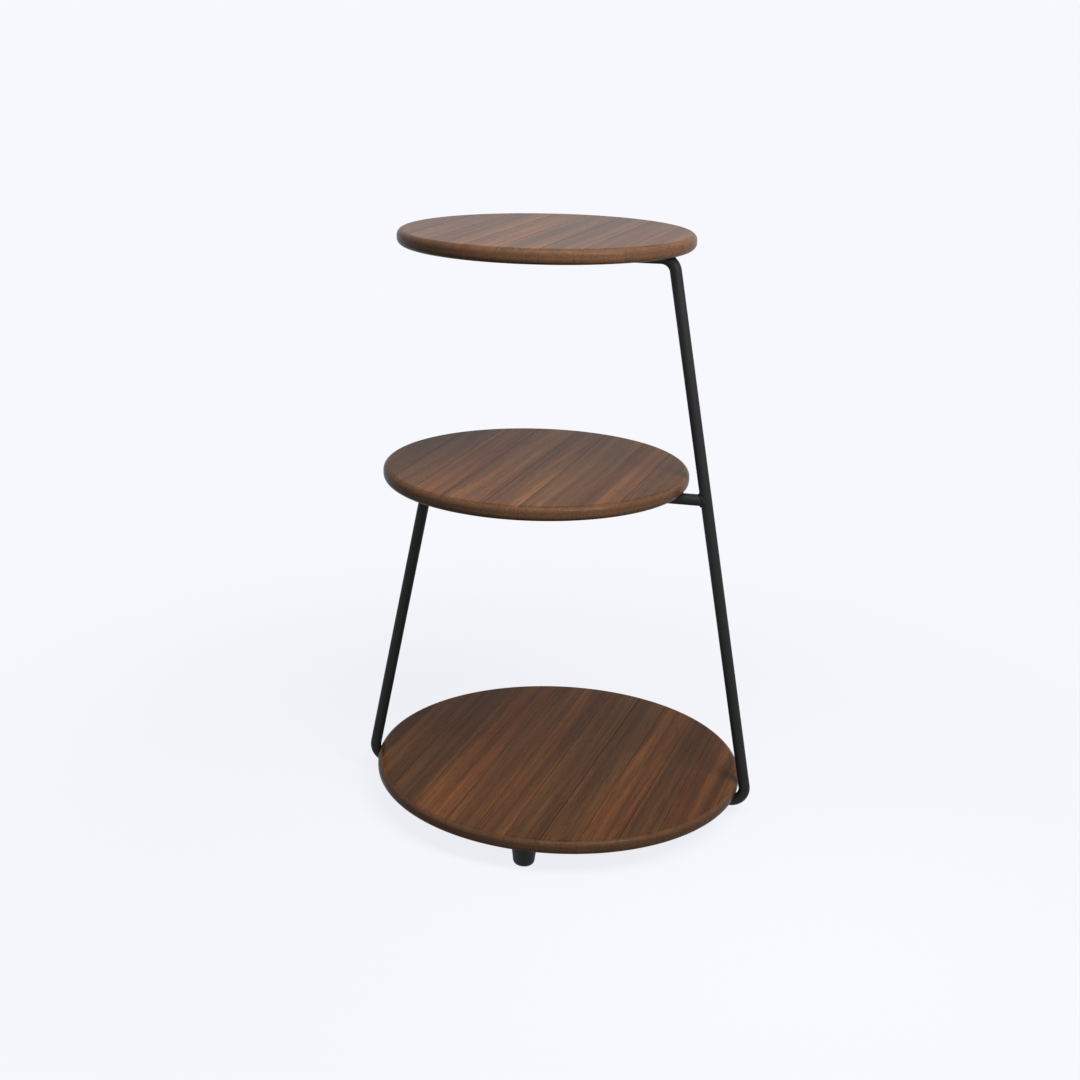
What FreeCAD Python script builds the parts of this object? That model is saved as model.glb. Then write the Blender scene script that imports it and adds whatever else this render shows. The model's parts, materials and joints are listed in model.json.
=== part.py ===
"""Three-tier side table: round boarded shelves carried by a flat A-frame of bent round bar.

Frame of the model: millimetres, +Z up, origin on the floor under the centre of the bottom shelf.
The bars lie in a plane parallel to XZ, a little in front of the shelves' axes, with the long leg at +X.
The boards of each shelf run near Y, turned a little.
"""

import FreeCAD
import Part

import math
import os

Vector = FreeCAD.Vector
UP = Vector(0, 0, 1)

# Shelves
SHELF_THICKNESS = 15.0
SHELF_EDGE_RADIUS = 6.0
TOP_SHELF_DIAMETER = 302.0
MIDDLE_SHELF_DIAMETER = 322.0
BOTTOM_SHELF_DIAMETER = 400.0
LOWER_TIER_RISE = 334.0
UPPER_TIER_RISE = 245.0

# Glued boards from left to right; a row is stretched to the width of its shelf
TOP_BOARD_WIDTHS = (38.0, 34.0, 42.0, 36.0, 40.0, 37.0, 33.0, 40.0)
MIDDLE_BOARD_WIDTHS = (42.0, 36.0, 38.0, 45.0, 36.0, 50.0, 37.0, 41.0)
BOTTOM_BOARD_WIDTHS = (50.0, 48.0, 43.0, 33.0, 33.0, 36.0, 36.0, 37.0, 32.0, 52.0)
BOARD_TURN_DEGREES = 7.0
BOARD_EDGE_EASING = 0.35
ROUGH_PANEL_MARGIN = 10.0

# Round bar of the frame
BAR_DIAMETER = 12.0
BAR_BEND_RADIUS = 15.0
BARS_BEFORE_CENTRE = 13.5
LEG_LEAN_DEGREES = 10.7
LEG_TO_BOTTOM_RIM = 2.3
LEG_TO_MIDDLE_RIM = 10.5
TOP_RIM_PAST_LEG = 19.5
TOP_ARM_TAIL = 30.0

# Welded tabs that the shelves are screwed to
TAB_WIDTH = 20.0
TAB_THICKNESS = 3.0
TAB_HOLE_REACH = 18.0
TOP_TAB_SPACING = 120.0
MIDDLE_TAB_SPACING = 150.0
BOTTOM_TAB_FROM_LEG = 78.0

# Screw-on feet, spaced evenly round the bottom shelf from the front one
FOOT_NAMES = ("front_foot", "rear_right_foot", "rear_left_foot")
FRONT_FOOT_DEGREES = -90.0
FOOT_HEIGHT = 24.0
FOOT_TOP_DIAMETER = 27.0
FOOT_BOTTOM_DIAMETER = 21.0
FOOT_EDGE_RADIUS = 4.0
FOOT_INSET = 23.0
FOOT_SEAT_THICKNESS = 11.0
WASHER_DIAMETER = 9.0
WASHER_THICKNESS = 1.0

# Pan-head wood screws
SCREW_DIAMETER = 4.0
SCREW_HEAD_DIAMETER = 8.0
SCREW_HEAD_HEIGHT = 2.6
SCREW_RIM_HEIGHT = 0.9
SCREW_TIP_LENGTH = 4.0
WOOD_OVER_TIP = 5.0
DRIVE_SLOT_LENGTH = 4.4
DRIVE_SLOT_WIDTH = 0.9
DRIVE_SLOT_DEPTH = 1.3

# Clearances
BAR_TO_SHELF = 0.3
WELD_GAP = 0.1
SCREW_IN_WOOD = 0.05
SCREW_IN_HOLE = 0.25
WASHER_IN_RECESS = 0.5
PILOT_BEYOND_TIP = 1.0

# Worked out from the sizes above
BAR_RADIUS = BAR_DIAMETER / 2
BAR_PLANE_Y = -BARS_BEFORE_CENTRE
LEAN = math.tan(math.radians(LEG_LEAN_DEGREES))
BAR_HALF_WIDTH_LEVEL = BAR_RADIUS / math.cos(math.radians(LEG_LEAN_DEGREES))
WIDEST_ROUNDING = 0.48
EDGE_RADIUS = min(SHELF_EDGE_RADIUS, WIDEST_ROUNDING * SHELF_THICKNESS)

FOOT_RECESS_RADIUS = WASHER_DIAMETER / 2 + WASHER_IN_RECESS
FOOT_RING_WIDTH = FOOT_BOTTOM_DIAMETER / 2 - FOOT_RECESS_RADIUS
FOOT_ROUNDING = min(FOOT_EDGE_RADIUS, 2 * WIDEST_ROUNDING * FOOT_RING_WIDTH)
TAB_SCREW_LENGTH = TAB_THICKNESS + SHELF_THICKNESS - WOOD_OVER_TIP
FOOT_SCREW_LENGTH = WASHER_THICKNESS + FOOT_SEAT_THICKNESS + SHELF_THICKNESS - WOOD_OVER_TIP

BOTTOM_UNDERSIDE = FOOT_HEIGHT
MIDDLE_UNDERSIDE = BOTTOM_UNDERSIDE + LOWER_TIER_RISE
TOP_UNDERSIDE = MIDDLE_UNDERSIDE + UPPER_TIER_RISE
BAR_BELOW_SHELF = BAR_TO_SHELF + BAR_RADIUS

RUNNER_Z = BOTTOM_UNDERSIDE - BAR_BELOW_SHELF
MIDDLE_ARM_Z = MIDDLE_UNDERSIDE - BAR_BELOW_SHELF
TOP_ARM_Z = TOP_UNDERSIDE - BAR_BELOW_SHELF


def leg_reach(z):
    """How far a leg's centre line stands from the middle of the frame at height z."""
    rim_x = math.sqrt((BOTTOM_SHELF_DIAMETER / 2) ** 2 - BAR_PLANE_Y ** 2)
    rim_z = BOTTOM_UNDERSIDE + SHELF_THICKNESS / 2
    at_rim = rim_x + LEG_TO_BOTTOM_RIM + BAR_HALF_WIDTH_LEVEL
    return at_rim - LEAN * (z - rim_z)


MIDDLE_RIM_X = leg_reach(MIDDLE_UNDERSIDE + SHELF_THICKNESS) - BAR_HALF_WIDTH_LEVEL - LEG_TO_MIDDLE_RIM
MIDDLE_CENTRE_X = MIDDLE_RIM_X - MIDDLE_SHELF_DIAMETER / 2
TOP_CENTRE_X = leg_reach(TOP_ARM_Z) + TOP_RIM_PAST_LEG - TOP_SHELF_DIAMETER / 2
FOOT_CIRCLE_RADIUS = BOTTOM_SHELF_DIAMETER / 2 - FOOT_INSET

TIERS = {
    "top": dict(centre=TOP_CENTRE_X, diameter=TOP_SHELF_DIAMETER, underside=TOP_UNDERSIDE,
                board_widths=TOP_BOARD_WIDTHS, tab_centre=TOP_CENTRE_X, tab_offset=TOP_TAB_SPACING / 2),
    "middle": dict(centre=MIDDLE_CENTRE_X, diameter=MIDDLE_SHELF_DIAMETER, underside=MIDDLE_UNDERSIDE,
                   board_widths=MIDDLE_BOARD_WIDTHS, tab_centre=MIDDLE_CENTRE_X,
                   tab_offset=MIDDLE_TAB_SPACING / 2),
    "bottom": dict(centre=0.0, diameter=BOTTOM_SHELF_DIAMETER, underside=BOTTOM_UNDERSIDE,
                   board_widths=BOTTOM_BOARD_WIDTHS, tab_centre=0.0,
                   tab_offset=leg_reach(RUNNER_Z) - BOTTOM_TAB_FROM_LEG),
}


# Profiles and sweeps

def arc(start, through, end):
    return Part.Arc(start, through, end).toShape()


def line(start, end):
    return Part.LineSegment(start, end).toShape()


def circle_point(centre, radius, degrees):
    """A point of a circle in the XZ plane, at an angle from +X towards +Z."""
    angle = math.radians(degrees)
    return centre + Vector(radius * math.cos(angle), 0, radius * math.sin(angle))


def turned(edges, axis_point):
    """The solid that a closed profile in the XZ plane sweeps about an upright axis."""
    return Part.Face(Part.Wire(edges)).revolve(axis_point, UP, 360)


def bent_path(corners, radius):
    """Straight runs from corner to corner, joined by tangent arcs of one radius."""
    edges = []
    start = corners[0]
    for before, corner, after in zip(corners, corners[1:], corners[2:]):
        back = (before - corner).normalize()
        ahead = (after - corner).normalize()
        half_opening = back.getAngle(ahead) / 2
        run = radius / math.tan(half_opening)
        bisector = (back + ahead).normalize()
        middle = corner + bisector * (radius / math.sin(half_opening) - radius)
        edges.append(line(start, corner + back * run))
        edges.append(arc(corner + back * run, middle, corner + ahead * run))
        start = corner + ahead * run
    edges.append(line(start, corners[-1]))
    return Part.Wire(edges)


def bent_bar(corners):
    """Round bar swept along a bent path, with square-cut ends."""
    path = bent_path(corners, BAR_BEND_RADIUS)
    section = Part.Wire(Part.makeCircle(BAR_RADIUS, corners[0], corners[1] - corners[0]))
    return path.makePipeShell([section], True, False)


# Shelves

def shelf_disc(tier):
    """A round panel with its top and bottom edges rounded over."""
    centre = Vector(tier["centre"], 0, 0)
    low = tier["underside"]
    high = low + SHELF_THICKNESS
    rim = tier["diameter"] / 2
    inner = rim - EDGE_RADIUS

    def at(x, z):
        return centre + Vector(x, 0, z)

    lower_round = at(inner, low + EDGE_RADIUS)
    upper_round = at(inner, high - EDGE_RADIUS)
    edges = [
        line(at(0, low), at(inner, low)),
        arc(at(inner, low), circle_point(lower_round, EDGE_RADIUS, -45), at(rim, low + EDGE_RADIUS)),
        line(at(rim, low + EDGE_RADIUS), at(rim, high - EDGE_RADIUS)),
        arc(at(rim, high - EDGE_RADIUS), circle_point(upper_round, EDGE_RADIUS, 45), at(inner, high)),
        line(at(inner, high), at(0, high)),
        line(at(0, high), at(0, low)),
    ]
    return turned(edges, centre)


def board_edges(tier):
    """Where the boards of a rough panel start and end, measured across them from the shelf's axis."""
    widths = tier["board_widths"]
    stretch = tier["diameter"] / sum(widths)
    edges = [-tier["diameter"] / 2]
    for width in widths:
        edges.append(edges[-1] + width * stretch)
    edges[0] -= ROUGH_PANEL_MARGIN
    edges[-1] += ROUGH_PANEL_MARGIN
    return edges


def board_stock(tier, left, right):
    """A straight board of a rough panel, its four long edges eased so that each joint shows as a fine V."""
    ease = BOARD_EDGE_EASING
    low = tier["underside"]
    high = low + SHELF_THICKNESS
    half_length = tier["diameter"] / 2 + ROUGH_PANEL_MARGIN
    corners = [
        (left + ease, low), (right - ease, low), (right, low + ease), (right, high - ease),
        (right - ease, high), (left + ease, high), (left, high - ease), (left, low + ease),
    ]
    section = Part.makePolygon([Vector(x, -half_length, z) for x, z in corners + corners[:1]])
    board = Part.Face(section).extrude(Vector(0, 2 * half_length, 0))
    board.rotate(Vector(0, 0, 0), UP, -BOARD_TURN_DEGREES)
    board.translate(Vector(tier["centre"], 0, 0))
    return board


def shelf_boards(tier, pilot_holes):
    """The round shelf, board by board, with the blind holes that its screws need."""
    disc = shelf_disc(tier).cut(Part.makeCompound(pilot_holes))
    edges = board_edges(tier)
    return [disc.common(board_stock(tier, left, right)) for left, right in zip(edges, edges[1:])]


# Bars

def on_bars(x, z):
    """A point of the plane that the bars' centre lines lie in."""
    return Vector(x, BAR_PLANE_Y, z)


def long_leg_rod():
    """Top arm, long leg and the right half of the runner, bent from one bar."""
    tail_x = TOP_CENTRE_X - TOP_TAB_SPACING / 2 - TOP_ARM_TAIL
    return bent_bar([
        on_bars(tail_x, TOP_ARM_Z),
        on_bars(leg_reach(TOP_ARM_Z), TOP_ARM_Z),
        on_bars(leg_reach(RUNNER_Z), RUNNER_Z),
        on_bars(0, RUNNER_Z),
    ])


def short_leg_rod():
    """Left half of the runner, short leg and middle arm; the arm's end is coped to the long leg."""
    meeting = on_bars(leg_reach(MIDDLE_ARM_Z), MIDDLE_ARM_Z)
    bar = bent_bar([
        on_bars(0, RUNNER_Z),
        on_bars(-leg_reach(RUNNER_Z), RUNNER_Z),
        on_bars(-leg_reach(MIDDLE_ARM_Z), MIDDLE_ARM_Z),
        meeting,
    ])
    along_leg = Vector(-LEAN, 0, 1).normalize()
    cope_half_length = 2 * BAR_DIAMETER
    cope_start = meeting - along_leg * cope_half_length
    return bar.cut(Part.makeCylinder(BAR_RADIUS + WELD_GAP, 2 * cope_half_length, cope_start, along_leg))


# Tabs

def tab_stations(tier):
    """(end name, x, side name, side sign) of the tabs under a shelf."""
    for end, end_sign in (("left", -1), ("right", 1)):
        x = tier["tab_centre"] + end_sign * tier["tab_offset"]
        for side, side_sign in (("front", -1), ("back", 1)):
            yield end, x, side, side_sign


def tab(tier, x, side_sign):
    """A flat tab with a round end, coped to the side of the bar and flush with the shelf."""
    low = tier["underside"] - TAB_THICKNESS
    half = TAB_WIDTH / 2
    root = BAR_RADIUS / 2
    reach = TAB_HOLE_REACH

    def at(across, out):
        return on_bars(x + across, low) + Vector(0, side_sign * out, 0)

    outline = Part.Wire([
        line(at(-half, root), at(-half, reach)),
        arc(at(-half, reach), at(0, reach + half), at(half, reach)),
        line(at(half, reach), at(half, root)),
        line(at(half, root), at(-half, root)),
    ])
    plate = Part.Face(outline).extrude(UP * TAB_THICKNESS)
    hole = Part.makeCylinder(SCREW_DIAMETER / 2 + SCREW_IN_HOLE, TAB_THICKNESS, at(0, reach))
    bar = Part.makeCylinder(BAR_RADIUS + WELD_GAP, TAB_WIDTH,
                            on_bars(x - half, tier["underside"] - BAR_BELOW_SHELF), Vector(1, 0, 0))
    return plate.cut(hole).cut(bar)


# Screws and the holes they turn into

def screw(seat, length):
    """An upright pan-head wood screw whose head bears up against a seat point."""
    head = SCREW_HEAD_DIAMETER / 2
    shank = SCREW_DIAMETER / 2
    crown = seat - UP * SCREW_HEAD_HEIGHT
    shoulder = seat + Vector(head, 0, -SCREW_RIM_HEIGHT)
    dome_height = SCREW_HEAD_HEIGHT - SCREW_RIM_HEIGHT
    dome_radius = (head ** 2 + dome_height ** 2) / (2 * dome_height)
    dome_half_angle = math.degrees(math.asin(head / dome_radius))
    dome_middle = circle_point(crown + UP * dome_radius, dome_radius, dome_half_angle / 2 - 90)
    tip = seat + UP * length
    edges = [
        arc(crown, dome_middle, shoulder),
        line(shoulder, seat + Vector(head, 0, 0)),
        line(seat + Vector(head, 0, 0), seat + Vector(shank, 0, 0)),
        line(seat + Vector(shank, 0, 0), tip + Vector(shank, 0, -SCREW_TIP_LENGTH)),
        line(tip + Vector(shank, 0, -SCREW_TIP_LENGTH), tip),
        line(tip, crown),
    ]
    body = turned(edges, seat)
    for long_x, long_y in ((DRIVE_SLOT_LENGTH, DRIVE_SLOT_WIDTH), (DRIVE_SLOT_WIDTH, DRIVE_SLOT_LENGTH)):
        corner = crown - Vector(long_x / 2, long_y / 2, 0)
        body = body.cut(Part.makeBox(long_x, long_y, DRIVE_SLOT_DEPTH, corner))
    return body


def pilot_hole(seat, length, underside):
    """The blind hole in a shelf for a screw that bears on a seat below it."""
    depth = seat.z + length + PILOT_BEYOND_TIP - underside
    return Part.makeCylinder(SCREW_DIAMETER / 2 + SCREW_IN_WOOD, depth, Vector(seat.x, seat.y, underside))


def tab_screw_seats(tier):
    """Where the heads of a shelf's screws bear on its tabs."""
    z = tier["underside"] - TAB_THICKNESS
    return [on_bars(x, z) + Vector(0, sign * TAB_HOLE_REACH, 0) for _, x, _, sign in tab_stations(tier)]


# Feet

def foot_places():
    """The point of each foot's axis that lies on the shelf's underside."""
    places = {}
    for number, name in enumerate(FOOT_NAMES):
        angle = math.radians(FRONT_FOOT_DEGREES + number * 360 / len(FOOT_NAMES))
        outward = Vector(math.cos(angle), math.sin(angle), 0)
        places[name] = outward * FOOT_CIRCLE_RADIUS + UP * BOTTOM_UNDERSIDE
    return places


def foot(place):
    """A tapered foot, hollow below for its screw, with the floor edge rounded."""
    top = FOOT_TOP_DIAMETER / 2
    bottom = FOOT_BOTTOM_DIAMETER / 2
    recess = FOOT_RECESS_RADIUS
    bore = SCREW_DIAMETER / 2 + SCREW_IN_HOLE
    slope = (top - bottom) / FOOT_HEIGHT
    floor = place - UP * FOOT_HEIGHT
    seat = place - UP * FOOT_SEAT_THICKNESS

    def side(height):
        return floor + Vector(bottom + slope * height, 0, height)

    ring_edge = floor + Vector(bottom - FOOT_ROUNDING, 0, 0)
    rounding_middle = circle_point(ring_edge + UP * FOOT_ROUNDING, FOOT_ROUNDING, -45)
    edges = [
        line(floor + Vector(recess, 0, 0), ring_edge),
        arc(ring_edge, rounding_middle, side(FOOT_ROUNDING)),
        line(side(FOOT_ROUNDING), side(FOOT_HEIGHT)),
        line(side(FOOT_HEIGHT), place + Vector(bore, 0, 0)),
        line(place + Vector(bore, 0, 0), seat + Vector(bore, 0, 0)),
        line(seat + Vector(bore, 0, 0), seat + Vector(recess, 0, 0)),
        line(seat + Vector(recess, 0, 0), floor + Vector(recess, 0, 0)),
    ]
    return turned(edges, place)


def foot_washer(place):
    """The steel washer between a foot's screw head and the seat of its recess."""
    base = place - UP * (FOOT_SEAT_THICKNESS + WASHER_THICKNESS)
    ring = Part.makeCylinder(WASHER_DIAMETER / 2, WASHER_THICKNESS, base)
    return ring.cut(Part.makeCylinder(SCREW_DIAMETER / 2 + SCREW_IN_HOLE, WASHER_THICKNESS, base))


def foot_screw_seats():
    """Where the heads of the feet's screws bear on their washers."""
    return [place - UP * (FOOT_SEAT_THICKNESS + WASHER_THICKNESS) for place in foot_places().values()]


# Assembly

def assembly():
    """Every node's name and shape."""
    nodes = {"long_leg_rod": long_leg_rod(), "short_leg_rod": short_leg_rod()}
    for name, tier in TIERS.items():
        seats = tab_screw_seats(tier)
        holes = [pilot_hole(seat, TAB_SCREW_LENGTH, tier["underside"]) for seat in seats]
        if name == "bottom":
            holes += [pilot_hole(seat, FOOT_SCREW_LENGTH, tier["underside"]) for seat in foot_screw_seats()]
        for number, board in enumerate(shelf_boards(tier, holes), 1):
            nodes[f"{name}_shelf_board_{number}"] = board
        for end, x, side, sign in tab_stations(tier):
            nodes[f"{name}_tab_{side}_{end}"] = tab(tier, x, sign)
        nodes[f"{name}_shelf_screws"] = Part.makeCompound([screw(seat, TAB_SCREW_LENGTH) for seat in seats])
    for name, place in foot_places().items():
        nodes[name] = foot(place)
    nodes["foot_washers"] = Part.makeCompound([foot_washer(place) for place in foot_places().values()])
    nodes["foot_screws"] = Part.makeCompound([screw(seat, FOOT_SCREW_LENGTH) for seat in foot_screw_seats()])
    return nodes


def main():
    os.makedirs("parts", exist_ok=True)
    for name, shape in assembly().items():
        if not shape.isValid():
            print("not valid:", name)
        shape.exportStep(f"parts/{name}.step")
        print(f"{name}: {len(shape.Solids)} solid, {shape.Volume / 1000:.2f} cm3")


main()
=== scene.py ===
"""Looks of the tiered side table: lacquered boards, powder-coated bar, welds, and the studio round them."""

import json
import math
import random

import bmesh
import bpy
from mathutils import Matrix, Vector
from mathutils.bvhtree import BVHTree


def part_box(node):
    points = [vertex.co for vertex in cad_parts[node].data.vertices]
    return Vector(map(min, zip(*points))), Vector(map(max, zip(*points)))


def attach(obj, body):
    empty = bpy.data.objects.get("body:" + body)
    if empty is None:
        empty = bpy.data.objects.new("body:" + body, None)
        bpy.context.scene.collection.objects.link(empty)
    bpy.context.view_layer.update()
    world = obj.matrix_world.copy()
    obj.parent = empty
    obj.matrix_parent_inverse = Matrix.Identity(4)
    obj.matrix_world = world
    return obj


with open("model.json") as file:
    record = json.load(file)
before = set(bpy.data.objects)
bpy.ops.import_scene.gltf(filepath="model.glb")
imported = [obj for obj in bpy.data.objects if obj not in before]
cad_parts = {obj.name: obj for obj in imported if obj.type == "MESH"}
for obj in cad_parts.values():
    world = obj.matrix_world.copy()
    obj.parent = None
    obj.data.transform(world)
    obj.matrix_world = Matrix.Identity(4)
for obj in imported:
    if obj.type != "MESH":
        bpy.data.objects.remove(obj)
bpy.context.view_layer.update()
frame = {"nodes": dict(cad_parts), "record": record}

MM = 0.001

# Camera, fitted to the outlines of the shelves and legs; its axis lies left of the picture's middle
CAMERA_PLACE = (0.2789, -1.5926, 0.8123)
CAMERA_HEADING_DEGREES = 14.29
CAMERA_PITCH_DEGREES = 17.95
CAMERA_ROLL_DEGREES = 0.69
CAMERA_LENS_MM = 52.91
CAMERA_SHIFT = 0.0833
SENSOR_WIDTH_MM = 36.0

# Studio
BACKGROUND = (0.930, 0.939, 0.982, 1.0)
WORLD_LIGHT = 0.30
LAMP_TARGET = (0.0, 0.0, 0.35)
LAMP_SIZE = 0.5
LAMP_COLOUR = (1.0, 0.965, 0.92)
KEY_PLACE = (0.61, -0.51, 0.95)
KEY_WATTS = 8.2
OVERHEAD_PLACE = (0.13, -0.48, 1.25)
OVERHEAD_WATTS = 5.2
FLOOR_RADIUS = 30.0
FLOOR_SIDES = 96
FLOOR_BOUNCE = (0.22, 0.22, 0.23, 1.0)
SHADOW_INNER_RADIUS = 0.27
SHADOW_OUTER_RADIUS = 0.9
SHADOW_SHARE = 0.11

# Stain of the wood, from the deepest streak to the palest
WOOD_DEEP = (0.046, 0.0200, 0.0092, 1.0)
WOOD_MIDDLE = (0.141, 0.060, 0.0205, 1.0)
WOOD_PALE = (0.240, 0.111, 0.040, 1.0)
PALE_SHARE = 0.75
WOOD_TONES = {
    "wood_dark": dict(tone=0.84, warmth=0.15),
    "wood_brown": dict(tone=1.0, warmth=0.35),
    "wood_amber": dict(tone=1.15, warmth=0.70),
}
WARM_TINT = (1.18, 0.93, 0.74, 1.0)

# How light each board is, from the first board of its shelf to the last, and how far chance may change that
BOARD_LIGHTNESS = {
    "bottom": (0.8, 1.35, 1.25, 1.1, 1.4, 0.9, 0.95, 0.85, 1.0, 0.75),
    "middle": (0.8, 0.8, 1.1, 1.15, 1.2, 1.05, 0.8, 0.85),
    "top": (1.05, 1.05, 1.25, 0.8, 1.1, 0.9, 0.85, 0.8),
}
LIGHTNESS_CHANCE = (0.93, 1.07)
BOARD_SEED = 7

# Grain: how fine each noise is across, along and through a board, and the values it shows between
BOARD_TURN_DEGREES = 7.0
GRAIN_SHIFT = 3.0
STREAK_NOISE = dict(stretch=(85.0, 1.9, 85.0), detail=5.0, roughness=0.62)
STREAK_LIMITS = (0.25, 0.75)
BROAD_NOISE = dict(stretch=(24.0, 0.9, 24.0), detail=3.0, roughness=0.55)
BROAD_LIMITS = (0.38, 0.72)
FIBRE_NOISE = dict(stretch=(900.0, 11.0, 900.0), detail=3.0, roughness=0.6)
FIBRE_LIMITS = (0.25, 0.75)
FIBRE_SHADES = (0.78, 1.22)
PORE_NOISE = dict(stretch=(1700.0, 48.0, 1700.0), detail=1.0)
PORE_LIMITS = (0.60, 0.70)
PORE_SHADE = 0.55

# Growth rings round the heart of the tree, which lies beside each board and wanders along it
RING_SPACING = 5.5 * MM
RING_UNEVENNESS = 1.6
UNEVENNESS_SCALE = 0.45
LATE_WOOD_RISE = (0.15, 0.88)
LATE_WOOD_FALL = (1.0, 0.93)
LATE_WOOD_SHARE = 0.34
HEART_ASIDE_MM = 30
HEART_DEPTH_MM = (25, 70)
HEART_NOISE = dict(stretch=(9.0, 1.3, 9.0), detail=2.0)
HEART_WANDER = 26 * MM

# Rims and joints of the boards
SHELF_EDGE_RADIUS = 6.0 * MM
WOOD_RIM = (0.108, 0.060, 0.036, 1.0)
RIM_EVENNESS = 0.80
RIM_JOINT_SHARE = 0.55
RIM_FADE_END = 0.3
# Paler band along the rounded upper edge of each rim: partly wear, partly a painted highlight standing in
# for the lacquer's gloss line
EDGE_WEAR_AND_HIGHLIGHT_TINT = (1.22, 1.22, 1.22, 1.0)
EDGE_WEAR_AND_HIGHLIGHT_LIMITS = (0.35, 0.65)
EDGE_WEAR_AND_HIGHLIGHT_SHARES = (0.25, 0.75)
EDGE_WEAR_AND_HIGHLIGHT_WIDTH = 1.35
GLUE_LINE_WIDTH = 0.4 * MM
GLUE_LINE_CORE = 0.1 * MM
GLUE_LINE_SHADE = 0.40

# Thin lacquer over the wood, which leaves the fibres and pores to be felt
LACQUER_SHARE = 0.50
LACQUER_ROUGHNESS = 0.20
LACQUER_IOR = 1.17
WOOD_ROUGHNESS = 0.26
FIBRE_ROUGHNESS = 0.14
PORE_ROUGHNESS = 0.12
FIBRE_HEIGHT = 0.35
PORE_HEIGHT = -0.6
WOOD_RELIEF = 0.12 * MM

# Powder coat of the bars
COAT_DEEP = (0.0048, 0.0051, 0.0051, 1.0)
COAT_PALE = (0.0085, 0.0090, 0.0090, 1.0)
COAT_ROUGHNESS = (0.54, 0.16)
COAT_RELIEF = 0.09 * MM
PEEL_NOISE = dict(fineness=520.0, detail=2.0, roughness=0.55)
SPECK_NOISE = dict(fineness=2600.0, detail=1.0)
SPECK_HEIGHT = 0.25
CLOUD_NOISE = dict(fineness=28.0)
BLACK_GLOSS = 0.24

# Moulded plastic of the feet
PLASTIC_DEEP = (0.006, 0.0063, 0.0063, 1.0)
PLASTIC_PALE = (0.012, 0.0125, 0.0125, 1.0)
PLASTIC_ROUGHNESS = (0.50, 0.15)
PLASTIC_RELIEF = 0.06 * MM
PLASTIC_NOISE = dict(fineness=2200.0, detail=2.0)
SCUFF_NOISE = dict(stretch=(160.0, 160.0, 600.0))

# Zinc plating of the screws and washers
ZINC_DEEP = (0.50, 0.50, 0.47, 1.0)
ZINC_PALE = (0.70, 0.69, 0.66, 1.0)
ZINC_ROUGHNESS = (0.22, 0.18)
ZINC_RELIEF = 0.03 * MM
BLOOM_NOISE = dict(fineness=420.0)

# Weld beads
BAR_TO_SHELF = 0.3 * MM
BEAD_RADIUS = 1.3 * MM
BEAD_RIPPLE_LENGTH = 1.9 * MM
BEAD_RIPPLE_SHARE = 0.13
BEAD_TIP_SHARE = 0.35
BEAD_TIP_STEP = 0.2
BEAD_SIDES = 12
ARM_WELD_POINTS = 72
ARM_WELD_SOFTENING = 0.22
LEAN_PROBE = 20 * MM
RUNNER_WELD_SPANS = 48
RUNNER_WELD_START_DEGREES = -205
RUNNER_WELD_SWEEP_DEGREES = 230
TAB_WELD_SPANS = 40
TAB_WELD_OFFSET = 0.3 * BEAD_RADIUS


# Node building

def add(tree, kind, inputs=None, **settings):
    """A new shader node; its inputs take values or are linked to sockets."""
    node = tree.nodes.new(kind)
    for key, value in settings.items():
        setattr(node, key, value)
    for key, value in (inputs or {}).items():
        put(tree, node.inputs[key], value)
    return node


def put(tree, socket, value):
    """Links a socket to another, or sets its value."""
    if isinstance(value, bpy.types.NodeSocket):
        tree.links.new(value, socket)
    else:
        socket.default_value = value


def feed(tree, shader, **sockets):
    """Links or sets a shader's inputs by name."""
    for name, value in sockets.items():
        put(tree, shader.inputs[name.replace("_", " ")], value)


def calc(tree, operation, first, second=0.0, third=0.0):
    """A number worked out from up to three numbers."""
    return add(tree, "ShaderNodeMath", {0: first, 1: second, 2: third}, operation=operation).outputs[0]


def between(tree, value, low, high, low_out=0.0, high_out=1.0):
    """A number that moves smoothly from one value to another as the input goes from low to high."""
    inputs = {0: value, 1: low, 2: high, 3: low_out, 4: high_out}
    return add(tree, "ShaderNodeMapRange", inputs, interpolation_type="SMOOTHSTEP").outputs[0]


def vector(tree, operation, first, second=(0.0, 0.0, 0.0)):
    """A vector worked out from two vectors."""
    return add(tree, "ShaderNodeVectorMath", {0: first, 1: second}, operation=operation).outputs[0]


def length(tree, first):
    """The length of a vector."""
    return add(tree, "ShaderNodeVectorMath", {0: first}, operation="LENGTH").outputs["Value"]


def blend(tree, factor, first, second, kind="MIX"):
    """Two colours blended."""
    node = add(tree, "ShaderNodeMix", {0: factor, 6: first, 7: second}, data_type="RGBA", blend_type=kind)
    return node.outputs[2]


def tinted(tree, colour, tint):
    """A colour multiplied by another."""
    return blend(tree, 1.0, colour, tint, "MULTIPLY")


def object_place(tree):
    """The place of a point in the frame."""
    return add(tree, "ShaderNodeTexCoord").outputs["Object"]


def noise(tree, place, stretch, detail=3.0, roughness=0.5):
    """Noise whose grain is stretch times finer than a metre along each axis."""
    scaled = vector(tree, "MULTIPLY", place, stretch)
    inputs = {"Vector": scaled, "Scale": 1.0, "Detail": detail, "Roughness": roughness}
    return add(tree, "ShaderNodeTexNoise", inputs).outputs[0]


def even_noise(tree, place, fineness, detail=3.0, roughness=0.5):
    """Noise that is as fine along every axis."""
    return noise(tree, place, (fineness, fineness, fineness), detail, roughness)


def bump(tree, height, distance):
    """A surface normal from a height pattern, in metres."""
    return add(tree, "ShaderNodeBump", {"Strength": 1.0, "Distance": distance, "Height": height}).outputs[0]


def empty_material(name):
    """A material without nodes, and its node tree."""
    material = bpy.data.materials.new(name)
    material.use_nodes = True
    material.node_tree.nodes.clear()
    return material, material.node_tree


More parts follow.
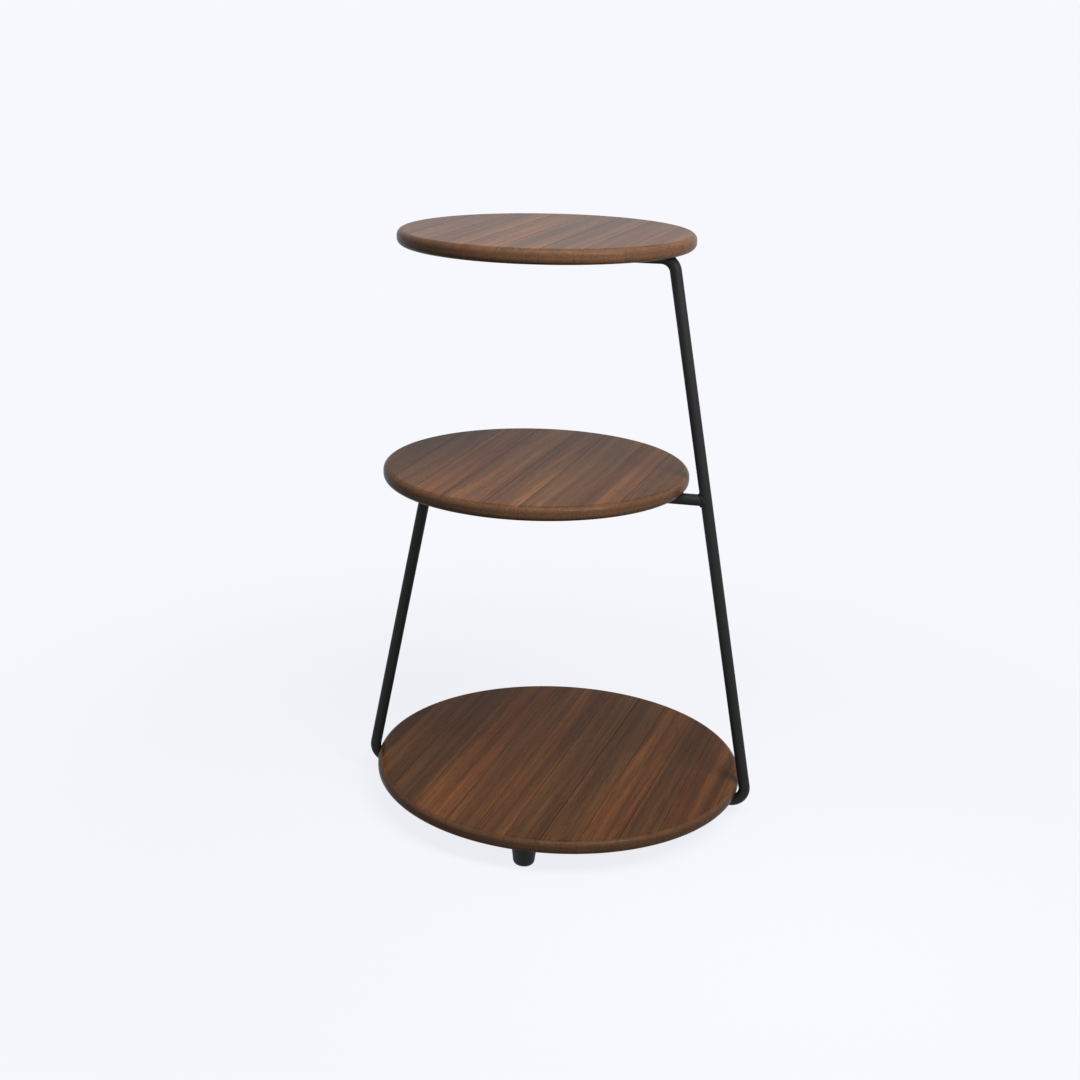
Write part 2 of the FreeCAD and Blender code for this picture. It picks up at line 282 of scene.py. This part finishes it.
def new_material(name):
    """A material, its node tree and its shader."""
    material, tree = empty_material(name)
    shader = add(tree, "ShaderNodeBsdfPrincipled")
    add(tree, "ShaderNodeOutputMaterial", {"Surface": shader.outputs[0]})
    return material, tree, shader


# Wood

def shelf_box(tier):
    """The lowest and highest corners of a shelf, over all its boards."""
    boxes = [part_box(name) for name in frame["nodes"] if name.startswith(tier + "_shelf_board_")]
    low = Vector([min(box[0][axis] for box in boxes) for axis in range(3)])
    high = Vector([max(box[1][axis] for box in boxes) for axis in range(3)])
    return low, high


def across_boards(place):
    """How far a place lies across the boards, from the middle of the frame."""
    turn = math.radians(BOARD_TURN_DEGREES)
    return place.x * math.cos(turn) - place.y * math.sin(turn)


def board_edges(board):
    """Where a board's two long edges lie, measured across the boards."""
    offsets = [across_boards(vertex.co) for vertex in frame["nodes"][board].data.vertices]
    return min(offsets), max(offsets)


def wood_material(name, board, look, draw):
    """Lacquered stained board: growth rings, streaks, pores, dark joints, and rims whose upper edge is worn
    paler and carries a painted highlight.
    """
    material, tree, shader = new_material(name)
    place = object_place(tree)
    along = add(tree, "ShaderNodeVectorRotate", {"Vector": place, "Angle": math.radians(BOARD_TURN_DEGREES)},
                rotation_type="Z_AXIS").outputs[0]
    shift = Vector([draw.uniform(-GRAIN_SHIFT, GRAIN_SHIFT) for axis in range(3)])
    own_place = vector(tree, "ADD", along, shift)
    streak = noise(tree, own_place, **STREAK_NOISE)
    fibre = noise(tree, own_place, **FIBRE_NOISE)
    pore = between(tree, noise(tree, own_place, **PORE_NOISE), *PORE_LIMITS)
    rim, edge = rim_and_edge(tree, place, board)
    evenness = calc(tree, "MULTIPLY", rim, RIM_EVENNESS)

    late_wood = late_wood_share(tree, heart_distance(tree, own_place, board, shift, draw))
    stain = stain_colour(tree, own_place, streak, late_wood, look["warmth"])
    stain = rim_colour(tree, stain, streak, evenness, edge)
    tone = look["tone"] * board_lightness(board) * draw.uniform(*LIGHTNESS_CHANCE)
    shade = board_shade(tree, tone, fibre, pore, evenness, joint_line(tree, along, rim, board))
    grey = add(tree, "ShaderNodeCombineColor", {0: shade, 1: shade, 2: shade}).outputs[0]

    satin = calc(tree, "MULTIPLY_ADD", fibre, FIBRE_ROUGHNESS, WOOD_ROUGHNESS)
    satin = calc(tree, "MULTIPLY_ADD", pore, PORE_ROUGHNESS, satin)
    height = calc(tree, "MULTIPLY_ADD", pore, PORE_HEIGHT, calc(tree, "MULTIPLY", fibre, FIBRE_HEIGHT))
    feed(tree, shader, Base_Color=tinted(tree, stain, grey), Roughness=satin, Specular_IOR_Level=0.0,
         Coat_Weight=LACQUER_SHARE, Coat_Roughness=LACQUER_ROUGHNESS, Coat_IOR=LACQUER_IOR,
         Normal=bump(tree, height, WOOD_RELIEF))
    return material


def board_lightness(board):
    """How light a board is among those of its shelf."""
    tier, number = board.split("_shelf_board_")
    return BOARD_LIGHTNESS[tier][int(number) - 1]


def heart_distance(tree, own_place, board, shift, draw):
    """How far a point lies from the heart of its board's tree; the heart wanders along the board."""
    low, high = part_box(board)
    left, right = board_edges(board)
    heart = Vector(((left + right) / 2, 0, (low.z + high.z) / 2)) + shift
    aside = draw.uniform(-HEART_ASIDE_MM, HEART_ASIDE_MM)
    depth = draw.choice((-1, 1)) * draw.uniform(*HEART_DEPTH_MM)
    heart += Vector((aside, 0, depth)) * MM
    section = vector(tree, "MULTIPLY", vector(tree, "SUBTRACT", own_place, heart), (1.0, 0.0, 1.0))
    drift = noise(tree, own_place, **HEART_NOISE)
    wander = calc(tree, "MULTIPLY_ADD", drift, HEART_WANDER, -HEART_WANDER / 2)
    return calc(tree, "ADD", length(tree, section), wander)


def late_wood_share(tree, distance):
    """1 in the dark late wood at the end of each ring, 0 in the early wood; the rings differ in width."""
    ring_count = calc(tree, "DIVIDE", distance, RING_SPACING)
    uneven = add(tree, "ShaderNodeTexNoise", {"W": ring_count, "Scale": UNEVENNESS_SCALE, "Detail": 1.0},
                 noise_dimensions="1D").outputs[0]
    ring = calc(tree, "FRACT", calc(tree, "MULTIPLY_ADD", uneven, RING_UNEVENNESS, ring_count))
    return calc(tree, "MULTIPLY", between(tree, ring, *LATE_WOOD_RISE), between(tree, ring, *LATE_WOOD_FALL))


def stain_colour(tree, own_place, streak, late_wood, warmth):
    """The stain as the grain takes it up: dark in fine streaks and late wood, pale in broad streaks."""
    colour = blend(tree, between(tree, streak, *STREAK_LIMITS), WOOD_DEEP, WOOD_MIDDLE)
    broad_streak = between(tree, noise(tree, own_place, **BROAD_NOISE), *BROAD_LIMITS)
    colour = blend(tree, calc(tree, "MULTIPLY", broad_streak, PALE_SHARE), colour, WOOD_PALE)
    colour = blend(tree, calc(tree, "MULTIPLY", late_wood, LATE_WOOD_SHARE), colour, WOOD_DEEP)
    return blend(tree, warmth, colour, tinted(tree, colour, WARM_TINT))


def rim_colour(tree, colour, streak, evenness, edge):
    """The stain with the rim more even than the face, and paler along its upper edge, partly from wear and
    partly as a painted highlight.
    """
    colour = blend(tree, evenness, colour, WOOD_RIM)
    # Paler upper edge: partly wear, partly a painted highlight
    wear_and_highlight = calc(tree, "MULTIPLY", edge, between(tree, streak, *EDGE_WEAR_AND_HIGHLIGHT_LIMITS, *EDGE_WEAR_AND_HIGHLIGHT_SHARES))
    return blend(tree, wear_and_highlight, colour, tinted(tree, colour, EDGE_WEAR_AND_HIGHLIGHT_TINT))


def board_shade(tree, tone, fibre, pore, evenness, joint):
    """How light a point of a board is: the board's own tone, fine fibres, dark joints and pores."""
    own_tone = between(tree, evenness, 0.0, 1.0, tone, 1.0)
    shade = calc(tree, "MULTIPLY", between(tree, fibre, *FIBRE_LIMITS, *FIBRE_SHADES), own_tone)
    shade = calc(tree, "MULTIPLY", shade, between(tree, joint, 0.0, 1.0, 1.0, GLUE_LINE_SHADE))
    return calc(tree, "MULTIPLY", shade, between(tree, pore, 0.0, 1.0, 1.0, PORE_SHADE))


def joint_line(tree, along, rim, board):
    """1 at the joints of a board with its neighbours, less on the rim, and 0 away from them."""
    stem, number = board.rsplit("_", 1)
    left, right = board_edges(board)
    across = add(tree, "ShaderNodeSeparateXYZ", {0: along}).outputs[0]
    gaps = []
    if f"{stem}_{int(number) - 1}" in frame["nodes"]:
        gaps.append(calc(tree, "SUBTRACT", across, left))
    if f"{stem}_{int(number) + 1}" in frame["nodes"]:
        gaps.append(calc(tree, "SUBTRACT", right, across))
    nearest = calc(tree, "MINIMUM", gaps[0], gaps[-1])
    line = between(tree, nearest, GLUE_LINE_WIDTH, GLUE_LINE_CORE)
    return calc(tree, "MULTIPLY", line, between(tree, rim, 0.0, 1.0, 1.0, RIM_JOINT_SHARE))


def rim_and_edge(tree, place, board):
    """1 round the rim of a board's shelf, and 1 along its rounded upper edge, which is worn paler and also
    carries a painted highlight.
    """
    low, high = shelf_box(board.split("_")[0])
    axis = (low + high) / 2
    radius = (high.y - low.y) / 2
    outward = vector(tree, "MULTIPLY", vector(tree, "SUBTRACT", place, axis), (1.0, 1.0, 0.0))
    from_axis = length(tree, outward)
    rise = add(tree, "ShaderNodeSeparateXYZ", {0: place}).outputs[2]
    edge_depth = calc(tree, "SUBTRACT", radius + high.z, calc(tree, "ADD", from_axis, rise))
    deepest = SHELF_EDGE_RADIUS * (2 - math.sqrt(2))
    edge = between(tree, edge_depth, EDGE_WEAR_AND_HIGHLIGHT_WIDTH * deepest, deepest)
    rim = between(tree, from_axis, radius - SHELF_EDGE_RADIUS, radius - RIM_FADE_END * SHELF_EDGE_RADIUS)
    return rim, edge


# Metal and plastic

def cloudy(tree, pattern, deep, pale, roughness):
    """Colour and roughness that a pattern moves from deep to pale; roughness is a start and a rise."""
    start, rise = roughness
    return blend(tree, pattern, deep, pale), calc(tree, "MULTIPLY_ADD", pattern, rise, start)


def powder_coat():
    """Matte black powder coat with a fine orange-peel skin."""
    material, tree, shader = new_material("black_powder_coat")
    place = object_place(tree)
    peel = even_noise(tree, place, **PEEL_NOISE)
    speck = even_noise(tree, place, **SPECK_NOISE)
    cloud = even_noise(tree, place, **CLOUD_NOISE)
    colour, satin = cloudy(tree, cloud, COAT_DEEP, COAT_PALE, COAT_ROUGHNESS)
    height = calc(tree, "MULTIPLY_ADD", speck, SPECK_HEIGHT, peel)
    feed(tree, shader, Base_Color=colour, Roughness=satin, Specular_IOR_Level=BLACK_GLOSS,
         Normal=bump(tree, height, COAT_RELIEF))
    return material


def moulded_plastic():
    """Black moulded plastic with a fine spark-eroded texture."""
    material, tree, shader = new_material("black_moulded_plastic")
    place = object_place(tree)
    grain = even_noise(tree, place, **PLASTIC_NOISE)
    scuff = noise(tree, place, **SCUFF_NOISE)
    colour, satin = cloudy(tree, scuff, PLASTIC_DEEP, PLASTIC_PALE, PLASTIC_ROUGHNESS)
    feed(tree, shader, Base_Color=colour, Roughness=satin, Specular_IOR_Level=BLACK_GLOSS,
         Normal=bump(tree, grain, PLASTIC_RELIEF))
    return material


def plated_steel():
    """Zinc-plated steel of the screws and washers."""
    material, tree, shader = new_material("zinc_plated_steel")
    bloom = even_noise(tree, object_place(tree), **BLOOM_NOISE)
    colour, satin = cloudy(tree, bloom, ZINC_DEEP, ZINC_PALE, ZINC_ROUGHNESS)
    feed(tree, shader, Base_Color=colour, Roughness=satin, Metallic=1.0,
         Normal=bump(tree, bloom, ZINC_RELIEF))
    return material


def dress_nodes(finishes):
    """Gives every piece of the frame its finish; each board has a grain of its own."""
    draw = random.Random(BOARD_SEED)
    for part in sorted(frame["record"]["subparts"], key=lambda part: part["node"]):
        name = part["node"]
        slot = part["material_slot"]
        material = finishes.get(slot)
        if material is None:
            material = wood_material("wood_" + name, name, WOOD_TONES[slot], draw)
        mesh = frame["nodes"][name].data
        mesh.materials.clear()
        mesh.materials.append(material)


# Welds

def bead_rings(shape, path, closed):
    """Rings of points round a path: a ripple for each drop of metal, and tapered ends unless closed."""
    turns = [2 * math.pi * step / BEAD_SIDES for step in range(BEAD_SIDES)]
    last = len(path) - 1
    rings = []
    run = 0.0
    for index, point in enumerate(path):
        before = path[index - 1] if closed or index else point
        after = path[(index + 1) % len(path)] if closed or index < last else point
        ahead = (after - before).normalized()
        side = ahead.orthogonal().normalized()
        other = ahead.cross(side)
        run += (point - path[index - 1]).length if index else 0.0
        swell = 1 + BEAD_RIPPLE_SHARE * math.cos(2 * math.pi * run / BEAD_RIPPLE_LENGTH)
        if not closed:
            swell *= min(1.0, BEAD_TIP_SHARE + BEAD_TIP_STEP * min(index, last - index))
        spokes = [side * math.cos(turn) + other * math.sin(turn) for turn in turns]
        rings.append([shape.verts.new(point + spoke * BEAD_RADIUS * swell) for spoke in spokes])
    return rings


def bead(name, path, closed, material):
    """A weld bead along a path of points."""
    shape = bmesh.new()
    rings = bead_rings(shape, path, closed)
    pairs = list(zip(rings, rings[1:]))
    if closed:
        pairs.append((rings[-1], rings[0]))
    for first, second in pairs:
        for step in range(BEAD_SIDES):
            following = (step + 1) % BEAD_SIDES
            shape.faces.new((first[step], first[following], second[following], second[step]))
    if not closed:
        shape.faces.new(rings[0])
        shape.faces.new(rings[-1])
    bmesh.ops.recalc_face_normals(shape, faces=shape.faces)
    mesh = bpy.data.meshes.new(name)
    shape.to_mesh(mesh)
    shape.free()
    mesh.polygons.foreach_set("use_smooth", [True] * len(mesh.polygons))
    mesh.materials.append(material)
    piece = bpy.data.objects.new(name, mesh)
    bpy.context.scene.collection.objects.link(piece)
    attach(piece, "root")


def leg_face(bars_y, z):
    """Where the inner face of the long leg lies at a height, in the plane of the bars."""
    mesh = frame["nodes"]["long_leg_rod"].data
    corners = [vertex.co for vertex in mesh.vertices]
    tree = BVHTree.FromPolygons(corners, [face.vertices for face in mesh.polygons])
    return tree.ray_cast(Vector((0, bars_y, z)), Vector((1, 0, 0)))[0].x


def arm_weld(bars_y, bar_radius, material):
    """The bead round the end of the middle arm, where it is coped to the long leg."""
    arm_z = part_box("short_leg_rod")[1].z - bar_radius
    lean = (leg_face(bars_y, arm_z - LEAN_PROBE) - leg_face(bars_y, arm_z + LEAN_PROBE)) / (2 * LEAN_PROBE)
    slant = math.sqrt(1 + lean ** 2)
    leg_x = leg_face(bars_y, arm_z) + bar_radius * slant
    path = []
    for number in range(ARM_WELD_POINTS):
        turn = 2 * math.pi * number / ARM_WELD_POINTS
        out = bar_radius * math.sin(turn)
        reach = math.sqrt(out ** 2 + (ARM_WELD_SOFTENING * bar_radius) ** 2)
        y = bars_y + bar_radius * math.cos(turn)
        path.append(Vector((leg_x - lean * out - slant * reach, y, arm_z + out)))
    bead("weld_middle_arm", path, True, material)


def runner_weld(bars_y, bar_radius, material):
    """The bead round the butt joint under the bottom shelf; it stops short of the shelf."""
    runner_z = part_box("long_leg_rod")[0].z + bar_radius
    path = []
    for number in range(RUNNER_WELD_SPANS + 1):
        swept = RUNNER_WELD_SWEEP_DEGREES * number / RUNNER_WELD_SPANS
        turn = math.radians(RUNNER_WELD_START_DEGREES + swept)
        y = bars_y + bar_radius * math.cos(turn)
        path.append(Vector((0, y, runner_z + bar_radius * math.sin(turn))))
    bead("weld_runner", path, False, material)


def tab_weld(tab, bars_y, bar_radius, material):
    """The bead in the corner between the underside of a tab and the side of the bar."""
    low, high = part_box(tab)
    bar_z = high.z - BAR_TO_SHELF - bar_radius
    height = low.z - TAB_WELD_OFFSET
    out = math.sqrt(bar_radius ** 2 - (height - bar_z) ** 2) + TAB_WELD_OFFSET
    side = 1 if (low.y + high.y) / 2 > bars_y else -1
    path = []
    for number in range(TAB_WELD_SPANS + 1):
        x = low.x + (high.x - low.x) * number / TAB_WELD_SPANS
        path.append(Vector((x, bars_y + side * out, height)))
    bead("weld_" + tab, path, False, material)


def weld_frame(material):
    """Every weld of the frame."""
    low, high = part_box("long_leg_rod")
    bars_y = (low.y + high.y) / 2
    bar_radius = (high.y - low.y) / 2
    arm_weld(bars_y, bar_radius, material)
    runner_weld(bars_y, bar_radius, material)
    for name in sorted(frame["nodes"]):
        if "_tab_" in name:
            tab_weld(name, bars_y, bar_radius, material)


# Studio

def place_camera():
    """The camera at the photograph's place and angle."""
    camera = bpy.data.cameras.new("camera")
    camera.lens = CAMERA_LENS_MM
    camera.sensor_width = SENSOR_WIDTH_MM
    camera.shift_x = CAMERA_SHIFT
    holder = bpy.data.objects.new("camera", camera)
    turn = Matrix.Rotation(math.radians(CAMERA_HEADING_DEGREES), 4, "Z")
    tilt = Matrix.Rotation(math.radians(90 - CAMERA_PITCH_DEGREES), 4, "X")
    roll = Matrix.Rotation(math.radians(CAMERA_ROLL_DEGREES), 4, "Z")
    holder.matrix_world = Matrix.Translation(CAMERA_PLACE) @ turn @ tilt @ roll
    bpy.context.scene.collection.objects.link(holder)
    bpy.context.scene.camera = holder


def area_light(name, place, watts):
    """A soft round lamp that faces the table."""
    light = bpy.data.lights.new(name, "AREA")
    light.shape = "DISK"
    light.size = LAMP_SIZE
    light.energy = watts
    light.color = LAMP_COLOUR
    holder = bpy.data.objects.new(name, light)
    holder.location = place
    holder.rotation_euler = (Vector(LAMP_TARGET) - Vector(place)).to_track_quat("-Z", "Y").to_euler()
    holder.visible_camera = False
    bpy.context.scene.collection.objects.link(holder)


def seen_rays(tree):
    """1 for rays that show the background itself: from the camera, off gloss or through glass."""
    path = add(tree, "ShaderNodeLightPath").outputs
    shown = calc(tree, "MAXIMUM", path["Is Camera Ray"], path["Is Glossy Ray"])
    return calc(tree, "MAXIMUM", shown, path["Is Transmission Ray"])


def light_world():
    """Even light all round; the background itself is seen at its own pale colour."""
    world = bpy.data.worlds.new("studio")
    world.use_nodes = True
    tree = world.node_tree
    tree.nodes.clear()
    strength = between(tree, seen_rays(tree), 0.0, 1.0, WORLD_LIGHT, 1.0)
    background = add(tree, "ShaderNodeBackground", {"Color": BACKGROUND, "Strength": strength})
    add(tree, "ShaderNodeOutputWorld", {"Surface": background.outputs[0]})
    bpy.context.scene.world = world


def floor_material():
    """A pale floor that keeps the table's shadow near it and meets the background further off."""
    material, tree = empty_material("pale_floor")
    seen = seen_rays(tree)
    matte = add(tree, "ShaderNodeBsdfDiffuse", {"Color": blend(tree, seen, FLOOR_BOUNCE, BACKGROUND)})
    glow = add(tree, "ShaderNodeEmission", {"Color": BACKGROUND, "Strength": 1.0})
    from_table = length(tree, object_place(tree))
    shadow_share = between(tree, from_table, SHADOW_INNER_RADIUS, SHADOW_OUTER_RADIUS, SHADOW_SHARE, 0.0)
    glow_share = calc(tree, "MULTIPLY", seen, calc(tree, "SUBTRACT", 1.0, shadow_share))
    surface = add(tree, "ShaderNodeMixShader", {0: glow_share, 1: matte.outputs[0], 2: glow.outputs[0]})
    add(tree, "ShaderNodeOutputMaterial", {"Surface": surface.outputs[0]})
    return material


def lay_floor():
    """A round floor that reaches far past the view."""
    mesh = bpy.data.meshes.new("floor")
    shape = bmesh.new()
    bmesh.ops.create_circle(shape, cap_ends=True, segments=FLOOR_SIDES, radius=FLOOR_RADIUS)
    shape.to_mesh(mesh)
    shape.free()
    mesh.materials.append(floor_material())
    floor = bpy.data.objects.new("floor", mesh)
    bpy.context.scene.collection.objects.link(floor)


finishes = {
    "frame_black": powder_coat(),
    "foot_plastic": moulded_plastic(),
    "fastener_steel": plated_steel(),
}
dress_nodes(finishes)
weld_frame(finishes["frame_black"])
place_camera()
light_world()
area_light("key", KEY_PLACE, KEY_WATTS)
area_light("overhead", OVERHEAD_PLACE, OVERHEAD_WATTS)
lay_floor()
bpy.context.scene.view_settings.view_transform = "Standard"
